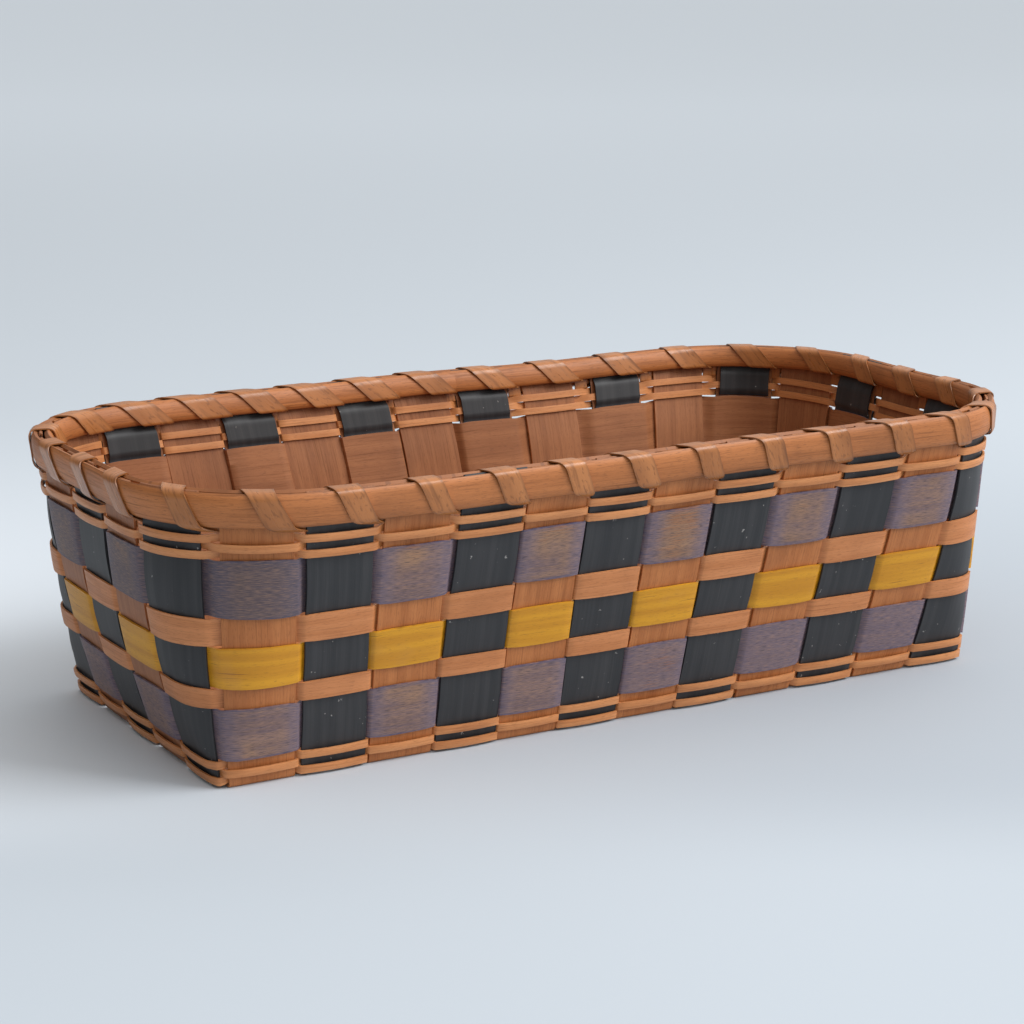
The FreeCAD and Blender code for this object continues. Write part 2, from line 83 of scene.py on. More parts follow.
# Each row from the base up: its name, and which stakes it passes outside.
ROWS = [
    ("base_weaver_1", "dark"),
    ("base_weaver_2", "plain"),
    ("base_weaver_3", "dark"),
    ("lower_blue_weaver", "plain"),
    ("lower_plain_weaver", "dark"),
    ("yellow_weaver", "plain"),
    ("upper_plain_weaver", "dark"),
    ("upper_blue_weaver", "plain"),
    ("top_weaver_1", "dark"),
    ("top_weaver_2", "plain"),
    ("top_weaver_3", "dark"),
]
HOOP_LOW, RIM = (corner.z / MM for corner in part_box("outer_hoop"))
INNER_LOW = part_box("inner_hoop")[0].z / MM
STAKE_TOP = RIM - 0.3
# The lowest weaver steps this far down and up as it passes the stakes.
FIRST_DIP = 0.4


def row_edges(name):
    """Lower and upper edge of a woven row."""
    low, high = (corner.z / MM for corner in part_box(name))
    if name == "base_weaver_1":
        low, high = low + FIRST_DIP, high - FIRST_DIP
    return low, high


EDGES = {name: row_edges(name) for name, _ in ROWS}
print("rim at", round(RIM, 1), "mm")
print("rows from:", {name: round(low, 1) for name, (low, high) in EDGES.items()})

# %% [markdown]
# The wall is a rounded rectangle that grows and gets rounder from the foot to
# the rim. The functions below turn "this far round, this high, this far out"
# into a point. With them a splint is as simple to place as a ribbon on a flat
# table, and pieces that cross always agree about where the wall is. Modelling
# straight in x, y and z would need new corner sums for each of the 31 pieces.

# %% Finding a place on the wall
# How far the rows ride up in the rear wall, where this starts, over which rise
# it grows, and how soon it fades at the hoop.
REAR_LIFT, LIFT_START, LIFT_RISE, LIFT_FADE = 2.0, 55.0, 28.0, 3.0


def smooth(share):
    """A soft step from 0 to 1."""
    share = min(max(share, 0.0), 1.0)
    return share * share * (3 - 2 * share)


def up_the_wall(height):
    """A height as a share of the way from the foot to the rim."""
    return (height - BASE_MIDDLE) / (RIM - BASE_MIDDLE)


def outline(height, offset=0.0, ease=0.0):
    """Half length, half width and corner radius of the wall at a height."""
    share = up_the_wall(height)
    x, y, corner = (FOOT[key] + (TOP[key] - FOOT[key]) * share for key in FOOT)
    return x + offset, y + offset, corner + offset + ease


def side_lengths(shape):
    """Lengths of the four sides, from halfway round one corner to the next."""
    x, y, corner = shape
    long_side = 2 * (x - corner) + corner * math.pi / 2
    short_side = 2 * (y - corner) + corner * math.pi / 2
    return [long_side, short_side, long_side, short_side]


def along_wall(count, shape):
    """Distance round an outline to a place counted in stakes, from the corner
    at the front left."""
    lengths = side_lengths(shape)
    turns, count = divmod(count, STAKES)
    distance = turns * sum(lengths)
    for stakes, length in zip((CROSS, LONG, CROSS, LONG), lengths):
        if count <= stakes:
            return distance + length * count / stakes
        count -= stakes
        distance += length


def walk(distance, shape):
    """The point a distance round an outline, and the way outwards there."""
    lengths = side_lengths(shape)
    x, y, corner = shape
    distance %= sum(lengths)
    turn = 0
    while distance > lengths[turn] and turn < 3:
        distance -= lengths[turn]
        turn += 1
    half_along, half_out = (x, y) if turn % 2 == 0 else (y, x)
    from_middle = distance - lengths[turn] / 2
    straight = half_along - corner
    angle = max(abs(from_middle) - straight, 0) / corner
    if angle:
        from_middle = math.copysign(straight + corner * math.sin(angle), from_middle)
        half_out -= corner * (1 - math.cos(angle))
    quarter = turn * math.pi / 2
    travel = Vector((math.cos(quarter), math.sin(quarter), 0))
    out = Vector((math.sin(quarter), -math.cos(quarter), 0))
    normal = out * math.cos(angle) + travel * math.copysign(math.sin(angle), from_middle)
    return travel * from_middle + out * half_out, normal


def rear_lift(height, normal):
    """How far the rows ride up in the rear wall, most of all under the rim."""
    share = smooth((height - LIFT_START) / LIFT_RISE)
    share *= 1 - smooth((height - HOOP_LOW + LIFT_FADE) / (2 * LIFT_FADE))
    return REAR_LIFT * share * smooth(normal.y)


def wall_point(distance, height, offset):
    """A point on the wall, pushed outwards by an offset."""
    point, normal = walk(distance, outline(height))
    return point + normal * offset + Vector((0, 0, height + rear_lift(height, normal)))


foot_shape, rim_shape = outline(BASE_MIDDLE), outline(RIM)
print("round foot and rim:", [round(sum(side_lengths(s))) for s in (foot_shape, rim_shape)], "mm")

# %% [markdown]
# No hand-woven basket is regular. The stakes aren't evenly spaced in the base,
# and each leans a little along its wall, most of all in the rear wall, where
# they crowd together on one side and leave gaps on the other. The two lists
# give that in millimetres. The left wall bows outwards halfway up, and a noise
# field makes small swellings: both move every splint at a place in the same
# way, so the weave stays tight. Chance could place the stakes too, but lists
# let us choose where they crowd.

# %% The unevenness of hand work
# Blender's vector noise starts from the clock unless it is given a seed.
noise.seed_set(1795343280)
dice = random.Random(11)
# The left wall's bow: how far it goes, where it begins and is full along x, and
# how far it reaches along y and up.
BOW, BOW_BEGIN, BOW_FULL, BOW_REACH, BOW_HEIGHT = 3.5, -130, -160, 80, 96
# The swellings: their size, how high they are, and where they are full.
SWELL_SIZE, SWELL_ACROSS, SWELL_UP, SWELL_FULL = 70.0, 0.9, 0.8, 40.0
BASE_SHIFT = [1.2, 1.5, 1.0, 0.6, -0.7, -2.0, -3.0, -4.0, -2.7, -1.4, -0.6, 0.2]
RIM_SHIFT = [
    1.7, 2.8, 3.6, 4.6, 2.9, 1.2, 1.0, 0.7, 1.1, 1.5, 2.4, 3.4,
    1.5, 0.5, -0.5, -2.0, -2.9,
    -3.5, 0.5, 5.1, 11.5, 16.0, 17.0, 16.1, 13.2, 10.4, 7.3, 4.5, 2.1,
    0.5, 0.0, -0.4, -0.6, -1.0,
]


def foot_shift(stake):
    """How far along the wall a stake stands from its even place, at the foot."""
    if stake < CROSS:
        return BASE_SHIFT[stake]
    rear = 2 * CROSS + LONG - 1 - stake
    return -BASE_SHIFT[rear] if 0 <= rear < CROSS else 0.0


def shift_at(stake, height):
    """How far along the wall a stake stands from its even place, at a height."""
    low, high = foot_shift(stake % STAKES), RIM_SHIFT[stake % STAKES]
    return low + (high - low) * up_the_wall(height)


def stake_middle(stake, height):
    """Distance round the wall to the middle of a stake."""
    return along_wall(stake + 0.5, outline(height)) + shift_at(stake, height)


def hand_made(point):
    """The point moved by the wall's own unevenness, which fades at the foot,
    and by the left wall, which bows outwards halfway up."""
    swell = noise.noise_vector(point / SWELL_SIZE)
    share = min(max(point.z / SWELL_FULL, 0.0), 1.0)
    bow = smooth((BOW_BEGIN - point.x) / (BOW_BEGIN - BOW_FULL))
    bow *= max(0.0, 1 - (point.y / BOW_REACH) ** 2)
    bow *= math.sin(math.pi * min(max(point.z / BOW_HEIGHT, 0.0), 1.0))
    return point + Vector((
        swell.x * SWELL_ACROSS * share - BOW * bow,
        swell.y * SWELL_ACROSS * share,
        swell.z * SWELL_UP * share,
    ))


print("largest lean:", max(RIM_SHIFT), "mm")

# %% [markdown]
# Where a weaver crosses outside a stake it pushes it inwards, and the next
# weaver pushes it out again, the wide ones more than the narrow ones. A
# simulation could find these bends, but they are so small that a list will do:
# one for dark and one for plain stakes.

# %% How far the weavers push the stakes
PUSH_SHARE, MOST_PUSH = 0.02, 0.35


def is_dark(stake):
    """Whether a stake's part on the wall is dark: every other one is."""
    return stake % 2 == 1


PUSHES = {True: [(0.0, 0.0)], False: [(0.0, 0.0)]}
for name, outside in ROWS:
    low, high = EDGES[name]
    amount = min(MOST_PUSH, PUSH_SHARE * (high - low))
    for dark in (True, False):
        inwards = dark == (outside == "dark")
        PUSHES[dark].append(((low + high) / 2, -amount if inwards else amount))
for dark in (True, False):
    PUSHES[dark] += [(HOOP_LOW, 0.0), (2 * RIM, 0.0)]


def push(stake, height):
    """How far a stake is pushed outwards at a height."""
    knots = PUSHES[is_dark(stake)]
    for (low, before), (high, after) in zip(knots, knots[1:]):
        if height <= high:
            return before + (after - before) * smooth((height - low) / (high - low))
    return 0.0


print("heights with a push:", len(PUSHES[True]))

# %% [markdown]
# Every splint is made in the same way. A flat grid, which is one bmesh
# operator, is laid along rows of points, like a ribbon along its path. The
# Solidify modifier gives it thickness with other materials inside than
# outside, and the Bevel modifier takes the hardness off its edges. UVs hold
# real distances along and across the splint (1 unit is 100 mm), so the wood
# grain runs along every bend. Two small attributes go with it: how much paint
# each place has, and how near it is to the edge. A curve with a flat profile
# would be less work, but it twists at tight bends.

# %% Laying a splint
UV_UNIT = 100
SHARP_ANGLE = math.radians(50)
# The least share of thickness that a vertex group leaves.
LEAST_THICK = 0.05


def travel_along(points, start=0.0):
    """The distance to each of a line of points, in UV units."""
    travelled = [start]
    for before, after in zip(points, points[1:]):
        travelled.append(travelled[-1] + (after - before).length / UV_UNIT)
    return travelled


def splint(name, rows, thickness, materials, edge, paint=None, full=None, cut=None):
    """One splint along rows of points in mm. edge is the width of its worn
    edges, paint and full give each row's share of paint and of thickness, and
    cut the share of thickness across a row."""
    long, wide = len(rows) - 1, len(rows[0]) - 1
    # Each splint starts elsewhere in the grain, so no two look alike.
    travelled = travel_along([row[wide // 2] for row in rows], dice.uniform(0, 50))
    across = travel_along(rows[long // 2])

    bm = bmesh.new()
    bmesh.ops.create_grid(bm, x_segments=long, y_segments=wide, size=1)
    uv = bm.loops.layers.uv.new("UVMap")
    painted = bm.verts.layers.float.new("paint")
    border = bm.verts.layers.float.new("border")
    weight = bm.verts.layers.deform.new("full")
    place = {}
    for vertex in bm.verts:
        i = round((vertex.co.x + 1) / 2 * long)
        j = round((vertex.co.y + 1) / 2 * wide)
        place[vertex] = (travelled[i], across[j] - across[-1] / 2)
        vertex.co = hand_made(rows[i][j]) * MM
        vertex[painted] = paint[i] if paint else 1.0
        vertex[border] = abs(2 * j / wide - 1)
        vertex[weight][0] = (full[i] if full else 1.0) * (cut[j] if cut else 1.0)
    for face in bm.faces:
        face.smooth = True
        for loop in face.loops:
            loop[uv].uv = place[loop.vert]
    mesh = bpy.data.meshes.new(name)
    bm.to_mesh(mesh)
    bm.free()

    piece = bpy.data.objects.new(name, mesh)
    bpy.context.collection.objects.link(piece)
    piece.vertex_groups.new(name="full")
    for material in materials:
        mesh.materials.append(material)
    solid = piece.modifiers.new("thickness", "SOLIDIFY")
    solid.thickness = thickness * MM
    solid.offset = 0.0
    solid.vertex_group = "full"
    solid.thickness_vertex_group = LEAST_THICK
    solid.material_offset = 1
    soft = piece.modifiers.new("soft_edges", "BEVEL")
    soft.width = edge * MM
    soft.segments = 2
    soft.limit_method = "ANGLE"
    soft.angle_limit = SHARP_ANGLE
    soft.harden_normals = True
    return piece


def keep(piece, node):
    """Hangs a finished piece under the root and hides the solid that it stands for."""
    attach(piece, "root")
    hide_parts(node)


# %% [markdown]
# Materials come before the pieces. The grain of split ash is one node group
# that all of them share: stretched noise in the UV directions gives fine
# fibres, broader streaks and short open pores, and noise in object space gives
# soft patches and small flecks. Two more outputs say how far along x and how
# high a place is. Stretching one noise is simpler than drawing lines, and it
# never repeats.

# %% The grain, a node group for all the wood
NOISE_ROUGHNESS = 0.55
# Output, whether it runs along the splint, stretch and detail.
NOISES = (
    ("Fibre", True, (4, 160, 1), 4),
    ("Streak", True, (0.9, 28, 1), 3),
    ("Pore", True, (32, 420, 1), 2),
    ("Patch", False, (38, 38, 38), 2),
    ("Fleck", False, (420, 420, 420), 2),
)
GRAIN_OUTPUTS = [label for label, *_ in NOISES] + ["Left", "Up"]


def add_noise(tree, vector, stretch, detail):
    """A noise whose coordinates are stretched, as a 0 to 1 value."""
    mapping = tree.nodes.new("ShaderNodeMapping")
    mapping.inputs["Scale"].default_value = stretch
    tree.links.new(vector, mapping.inputs["Vector"])
    texture = tree.nodes.new("ShaderNodeTexNoise")
    texture.inputs["Scale"].default_value = 1.0
    texture.inputs["Detail"].default_value = detail
    texture.inputs["Roughness"].default_value = NOISE_ROUGHNESS
    tree.links.new(mapping.outputs["Vector"], texture.inputs["Vector"])
    return texture.outputs["Fac"]


grain = bpy.data.node_groups.new("splint_grain", "ShaderNodeTree")
for label in GRAIN_OUTPUTS:
    grain.interface.new_socket(label, in_out="OUTPUT", socket_type="NodeSocketFloat")
grain_out = grain.nodes.new("NodeGroupOutput")
along = grain.nodes.new("ShaderNodeUVMap").outputs["UV"]
space = grain.nodes.new("ShaderNodeTexCoord").outputs["Object"]
for label, lengthwise, stretch, detail in NOISES:
    value = add_noise(grain, along if lengthwise else space, stretch, detail)
    grain.links.new(value, grain_out.inputs[label])
axes = grain.nodes.new("ShaderNodeSeparateXYZ")
grain.links.new(space, axes.inputs["Vector"])
grain.links.new(axes.outputs["X"], grain_out.inputs["Left"])
grain.links.new(axes.outputs["Z"], grain_out.inputs["Up"])
print("grain group:", [socket.name for socket in grain.interface.items_tree])

# %% [markdown]
# A material mixes colours step by step. The nodes could be placed one by one,
# but a short helper for each step keeps the recipes readable. Each takes a
# plain value or the output of another node.

# %% Steps that the materials are made of
RANGE_ENDS = ("From Min", "From Max", "To Min", "To Max")
# The bump's full height.
GRAIN_DEPTH = 0.1 * MM


class Steps:
    """Short names for the usual steps in a node tree."""

    def __init__(self, tree):
        self.tree = tree

    def feed(self, socket, value):
        """Gives a socket a value, or links it to the output of another node."""
        if isinstance(value, bpy.types.NodeSocket):
            self.tree.links.new(value, socket)
        else:
            socket.default_value = value

    def range(self, value, low, high, start=0.0, end=1.0):
        """A value turned softly from the range low to high into start to end."""
        node = self.tree.nodes.new("ShaderNodeMapRange")
        node.interpolation_type = "SMOOTHSTEP"
        for label, number in zip(RANGE_ENDS, (low, high, start, end)):
            node.inputs[label].default_value = number
        self.feed(node.inputs["Value"], value)
        return node.outputs["Result"]

    def mix(self, share, first, second):
        """Two colours mixed: the first where the share is 0, the second at 1."""
        node = self.tree.nodes.new("ShaderNodeMix")
        node.data_type = "RGBA"
        self.feed(node.inputs["Factor"], share)
        self.feed(node.inputs["A"], first)
        self.feed(node.inputs["B"], second)
        return node.outputs["Result"]

    def maths(self, operation, first, second, kind="ShaderNodeMath"):
        """The result of a sum with two values."""
        node = self.tree.nodes.new(kind)
        node.operation = operation
        self.feed(node.inputs[0], first)
        self.feed(node.inputs[1], second)
        return node.outputs["Value"]

    def vector_maths(self, operation, first, second):
        """The one value that a sum with two vectors gives."""
        return self.maths(operation, first, second, "ShaderNodeVectorMath")


class Recipe(Steps):
    """A material for wood, with the outputs of the grain group at hand."""

    def __init__(self, name):
        self.material = bpy.data.materials.new(name)
        self.material.use_nodes = True
        super().__init__(self.material.node_tree)
        self.shader = self.tree.nodes["Principled BSDF"]
        wood = self.tree.nodes.new("ShaderNodeGroup")
        wood.node_tree = grain
        self.fibre, self.streak, self.pore, self.patch, self.fleck, self.left, self.up = (
            wood.outputs[label] for label in GRAIN_OUTPUTS
        )

    def attribute(self, name):
        """The value that each vertex of the splint has under a name."""
        node = self.tree.nodes.new("ShaderNodeAttribute")
        node.attribute_name = name
        return node.outputs["Fac"]

    def finish(self, colour, roughness, bump):
        """The material, with its colour and the fibres as fine relief."""
        self.feed(self.shader.inputs["Base Color"], colour)
        self.feed(self.shader.inputs["Roughness"], roughness)
        node = self.tree.nodes.new("ShaderNodeBump")
        node.inputs["Strength"].default_value = bump
        node.inputs["Distance"].default_value = GRAIN_DEPTH
        self.feed(node.inputs["Height"], self.fibre)
        self.feed(self.shader.inputs["Normal"], node.outputs["Normal"])
        return self.material


print("steps:", [step for step in vars(Steps) if not step.startswith("_")])

# %% [markdown]
# Bare wood has three tones. Broad streaks mix the middle and the light one, and
# thin fibres and short open pores bring in the dark one. The hoops and the
# lashing also have painted shade along their edges. A picture of wood laid on
# the splints would show where it repeats. Mixed tones don't.


# %% Bare wood
def wood_colour(recipe, dark, mid, light):
    """Bare wood: three tones mixed by streaks, fibres and open pores."""
    broad = recipe.mix(recipe.range(recipe.streak, 0.3, 0.7), mid, light)
    line = recipe.range(recipe.fibre, 0.30, 0.48, 0.5, 0.0)
    dash = recipe.range(recipe.pore, 0.34, 0.44, 0.45, 0.0)
    return recipe.mix(recipe.maths("MAXIMUM", line, dash), broad, dark)


def bare_wood(name, wood, roughness, bump=0.5, painted_edge_shade=0.0):
    """A material for unpainted splint. wood is its dark, middle and light
    tone, and the last argument is painted shade that darkens its two edges."""
    recipe = Recipe(name)
    dark = wood[0]
    colour = wood_colour(recipe, *wood)
    # Painted shade: a dark line along both edges, where one part lies against another.
    if painted_edge_shade:
        edge = recipe.range(recipe.attribute("border"), 0.72, 1.0, 0.0, painted_edge_shade)
        edge_shade_colour = tuple(part * 0.45 for part in dark[:3]) + (1,)
        colour = recipe.mix(edge, colour, edge_shade_colour)
    colour = recipe.mix(recipe.range(recipe.patch, 0.45, 0.75, 0.0, 0.3), colour, dark)
    rough = recipe.range(recipe.fibre, 0.3, 0.7, roughness + 0.1, roughness - 0.05)
    return recipe.finish(colour, rough, bump)


# The dark, middle and light tone of each kind of splint.
PLAIN = ((0.19, 0.055, 0.014, 1), (0.42, 0.138, 0.035, 1), (0.51, 0.185, 0.054, 1))
AGED = ((0.14, 0.045, 0.014, 1), (0.29, 0.102, 0.034, 1), (0.38, 0.145, 0.053, 1))
WEAVER = ((0.24, 0.076, 0.022, 1), (0.51, 0.184, 0.058, 1), (0.62, 0.245, 0.090, 1))
NARROW = ((0.28, 0.090, 0.026, 1), (0.56, 0.210, 0.066, 1), (0.68, 0.290, 0.108, 1))
HOOP = ((0.12, 0.036, 0.009, 1), (0.42, 0.140, 0.036, 1), (0.54, 0.192, 0.056, 1))
LASHING = ((0.13, 0.042, 0.011, 1), (0.36, 0.128, 0.035, 1), (0.52, 0.202, 0.064, 1))
plain_wood = bare_wood("plain_splint", PLAIN, 0.55)
inner_wood = bare_wood("inner_face_of_splint", AGED, 0.6)
weaver_wood = bare_wood("plain_weaver_splint", WEAVER, 0.5)
narrow_wood = bare_wood("narrow_splint", NARROW, 0.45)
# The hoops and the lashing get painted shade along their edges.
hoop_wood = bare_wood("hoop_wood", HOOP, 0.5, bump=0.8, painted_edge_shade=0.35)
lash_wood = bare_wood("lashing_splint", LASHING, 0.3, bump=0.8, painted_edge_shade=0.3)
print("bare woods:", plain_wood.name, "to", lash_wood.name)

# %% [markdown]
# Three kinds of colour lie on the wood: a flat near-black paint, a blue wash
# that has greyed and rubbed off with age, and a warm yellow wash. One colour
# for each would look like plastic, so the grain decides where it is thin, and
# the blue one also reads how much paint a place has kept.


# %% The paint and the washes
def dark_paint_on(name, wood):
    """Flat near-black paint: thin along the grain, with a few pale specks, and
    none where the paint attribute is 0."""
    recipe = Recipe(name)
    deep, faded = (0.020, 0.021, 0.024, 1), (0.034, 0.034, 0.037, 1)
    thin, pale = (0.075, 0.067, 0.062, 1), (0.42, 0.40, 0.38, 1)
    bare = wood_colour(recipe, *wood)
    paint = recipe.mix(recipe.range(recipe.streak, 0.35, 0.7), deep, faded)
    paint = recipe.mix(recipe.range(recipe.fibre, 0.62, 0.78, 0.0, 0.35), paint, thin)
    paint = recipe.mix(recipe.range(recipe.fleck, 0.715, 0.755, 0.0, 0.6), paint, pale)
    colour = recipe.mix(recipe.attribute("paint"), bare, paint)
    return recipe.finish(colour, 0.55, 0.35)


def blue_wash_on(name, wood):
    """A thin blue wash, greyed by age. It is bluest along the edges and in the
    bends, and fresher where the paint attribute is high. On the upper row it is
    darker at the left end. Fine tan fibres show through it, dark pores run along
    it, and here and there it is rubbed off."""
    recipe = Recipe(name)
    grey_deep, grey_light = (0.232, 0.132, 0.086, 1), (0.335, 0.190, 0.110, 1)
    blue, fresh = (0.082, 0.076, 0.150, 1), (0.165, 0.135, 0.190, 1)
    left_end_dark, tan = (0.055, 0.050, 0.070, 1), (0.42, 0.235, 0.135, 1)
    dark_line = (0.060, 0.044, 0.055, 1)
    bare = wood_colour(recipe, *wood)
    edge = recipe.range(recipe.attribute("border"), 0.78, 1.0)
    kept = recipe.maths("MULTIPLY", recipe.attribute("paint"), 0.8)
    grey = recipe.mix(recipe.range(recipe.streak, 0.35, 0.65), grey_deep, grey_light)
    patches = recipe.range(recipe.patch, 0.42, 0.62, 0.5, 0.0)
    tint = recipe.maths("MAXIMUM", recipe.maths("MAXIMUM", edge, kept), patches)
    tint = recipe.maths("MULTIPLY", tint, recipe.range(recipe.fibre, 0.38, 0.60, 1.0, 0.55))
    wash = recipe.mix(tint, grey, blue)
    wash = recipe.mix(recipe.range(kept, 0.05, 0.6, 0.0, 0.45), wash, fresh)
    # The upper row is darker at its left end.
    left_end = recipe.range(recipe.left, -0.112, -0.135)
    upper_row = recipe.range(recipe.up, 0.040, 0.055, 0.0, 0.55)
    wash = recipe.mix(recipe.maths("MULTIPLY", left_end, upper_row), wash, left_end_dark)
    wash = recipe.mix(recipe.range(recipe.pore, 0.50, 0.66, 0.0, 0.35), wash, tan)
    worn = recipe.maths("ADD", recipe.patch, recipe.maths("MULTIPLY", recipe.fibre, 0.6))
    worn = recipe.maths("SUBTRACT", worn, recipe.maths("MULTIPLY", kept, 0.3))
    colour = recipe.mix(recipe.range(worn, 0.86, 1.04, 0.0, 0.6), wash, bare)
    colour = recipe.mix(recipe.range(recipe.pore, 0.38, 0.47, 0.6, 0.0), colour, dark_line)
    return recipe.finish(colour, 0.6, 0.6)


def yellow_wash_on(name):
    """A warm yellow wash with the grain showing through as brown lines."""
    recipe = Recipe(name)
    deep, bright = (0.54, 0.228, 0.005, 1), (0.67, 0.315, 0.010, 1)
    brown, rubbed = (0.22, 0.075, 0.006, 1), (0.52, 0.25, 0.07, 1)
    wash = recipe.mix(recipe.range(recipe.streak, 0.3, 0.7), deep, bright)
    line = recipe.range(recipe.fibre, 0.30, 0.36, 0.85, 0.0)
    dash = recipe.range(recipe.pore, 0.32, 0.40, 0.5, 0.0)
    colour = recipe.mix(recipe.maths("MAXIMUM", line, dash), wash, brown)
    colour = recipe.mix(recipe.range(recipe.patch, 0.58, 0.8, 0.0, 0.4), colour, rubbed)
    return recipe.finish(colour, 0.5, 0.4)


dark_paint = dark_paint_on("dark_splint", AGED)
blue_paint = blue_wash_on("blue_splint", AGED)
yellow_paint = yellow_wash_on("yellow_splint")
print("colours:", dark_paint.name, blue_paint.name, yellow_paint.name)

# %% [markdown]
# The weavers. A weaver lies flat on a stake, crosses the narrow gap on a soft
# S and lies flat on the other side of the next one. It bulges a little over
# each stake, as bent wood does. Its row of stations is dense in the gaps, where
# it bends. Its ends meet behind a stake of the left wall. One wave repeated by
# an Array modifier would be quicker, but the stakes stand unevenly.

# %% The weavers
ON_STAKE = [-1.0, -0.75, -0.5, -0.25, 0.0, 0.25, 0.5, 0.75, 1.0]
BEFORE_MIDDLE, AFTER_MIDDLE = ON_STAKE[:4], ON_STAKE[5:]
IN_GAP = [1.16, 1.33, 1.5, 1.67, 1.84]
ENDS_APART = 0.01
NARROW_BELOW = 4
WIDE_BULGE, NARROW_BULGE, INNER_BULGE = 0.5, 1.1, 0.2
# A wide weaver draws in a little over the gaps, and a narrow one spreads.
WIDE_WAIST, NARROW_WAIST, WAIST_FROM = 0.045, -0.05, 0.6
# How much the width varies, and how much less the edges bulge.
WIDTH_NOISE, EDGE_LESS = 0.05, 0.25
SAG = 0.3


def paint_kept(name, stake, place):
    """How much paint a weaver has kept at a place where it lies outside: least
    at the middle of a stake, and more on the lower blue row."""
    fresh = 0.0
    if name == "lower_blue_weaver":
        front = stake % STAKES
        fresh = 0.1 + 0.7 * smooth((front - 2) / 6) if front < CROSS else 0.4
    return max(fresh, min(1.0, abs(place)) ** 2)


def weaver_rows(name, outside):
    """The rows of points of one weaver, once round the basket, and how much
    paint each row has kept."""
    low, high = EDGES[name]
    narrow = high - low < NARROW_BELOW
    bulge, most_waist = (NARROW_BULGE, NARROW_WAIST) if narrow else (WIDE_BULGE, WIDE_WAIST)
    inside_step = TUCKED_STEP if name == "upper_blue_weaver" else WEAVER_STEP
    dip = FIRST_DIP if name == "base_weaver_1" else SAG if narrow else 0.0
    across = max(4, round((high - low) / 2))
    middle, half = (low + high) / 2, (high - low) / 2
    rows, kept = [], []

    def step_at(stake):
        return WEAVER_STEP if is_dark(stake) == (outside == "dark") else -inside_step

    def station(stake, place):
        """Adds a row across the weaver: place runs from -1 to 1 over a stake,
        and then from 1 to 2 over the gap after it."""
        row = []
        step = step_at(stake)
        near_gap = abs(place) if place <= 1 else 1.3 - abs(place - 1.5) * 0.6
        waist = most_waist * smooth((near_gap - WAIST_FROM) / 0.6)
        uneven = WIDTH_NOISE * noise.noise(Vector((stake + place / 2, low, 0)))
        cut = half * (1 - waist + uneven)
        for j in range(across + 1):
            side = 2 * j / across - 1
            height = middle + side * cut
            here = stake_middle(stake, height)
            if place <= 1:
                distance = here + place * HALF_WIDTH
                swell = bulge * (1 - place * place) * (1 - EDGE_LESS * side * side)
                offset = step + swell if step > 0 else step - INNER_BULGE * swell
            else:
                start, end = here + HALF_WIDTH, stake_middle(stake + 1, height) - HALF_WIDTH
                distance = start + (end - start) * (place - 1)
                offset = step + (step_at(stake + 1) - step) * smooth(place - 1)
            point = wall_point(distance, height, offset)
            point.z -= dip * max(-1, min(1, offset / WEAVER_STEP))
            row.append(point)
        rows.append(row)
        kept.append(paint_kept(name, stake, place) if step > 0 else 1.0)

    joint = 2 * CROSS + LONG + 2
    if step_at(joint) > 0:
        joint += 1
    for place in [ENDS_APART] + AFTER_MIDDLE + IN_GAP:
        station(joint, place)
    for stake in range(joint + 1, joint + STAKES):
        for place in ON_STAKE + IN_GAP:
            station(stake, place)
    for place in BEFORE_MIDDLE + [-ENDS_APART]:
        station(joint + STAKES, place)
    return rows, kept


SPLINT_EDGE = 0.2
for name, outside in ROWS:
    if "blue" in name:
        outer, inner, slot = blue_paint, inner_wood, "blue_splint"
    elif "yellow" in name:
        outer, inner, slot = yellow_paint, inner_wood, "yellow_splint"
    elif "plain" in name:
        outer, inner, slot = weaver_wood, inner_wood, "plain_splint"
    else:
        outer, inner, slot = narrow_wood, narrow_wood, "narrow_splint"
    rows, kept = weaver_rows(name, outside)
    piece = splint(name + "_splint", rows, WEAVER_THICK, [outer, inner], SPLINT_EDGE, kept)
    keep(piece, name)
print("weavers:", len(ROWS))

# %% [markdown]
# The stakes. One long splint runs down a wall, across the base and up the
# opposite wall. In the base the stakes are woven over and under each other.
# The dark ends are shaved thin, folded over inside the rim and tucked behind
# the upper blue weaver, which is how such a basket is finished. On most folds
# of the front and on those of the left wall the paint has cracked off. A flat
# strip bent by a Curve modifier could make the plain ones. Rows of points can
# be thinned and narrowed as well, which the folded ends need.

# %% The part of a stake on the wall
# Places across a stake, from -1 at one edge to 1 at the other.
SIDEWAYS = [j / 4 - 1 for j in range(9)]
MIDDLE = len(SIDEWAYS) // 2
# The fold at the foot, and the rows' spacing on the wall.
FOLD, SPACING = 1.3, 1.6
# How far a tail is tucked in, its room behind the top rows, and the height over
# which it narrows.
TUCK, ROOM, NARROWING = 5.0, 0.2, 6
# The stakes whose fold at the rim has kept its paint, and what others kept.
DARK_FOLDS = (3, 15, 17, 19, 21, 23, 25, 27)
CRACKED = 0.1


def wall_row(stake, height, offset, facing, half=HALF_WIDTH):
    """Points across a stake on the wall."""
    middle = stake_middle(stake, height)
    return [wall_point(middle + facing * a * half, height, offset) for a in SIDEWAYS]


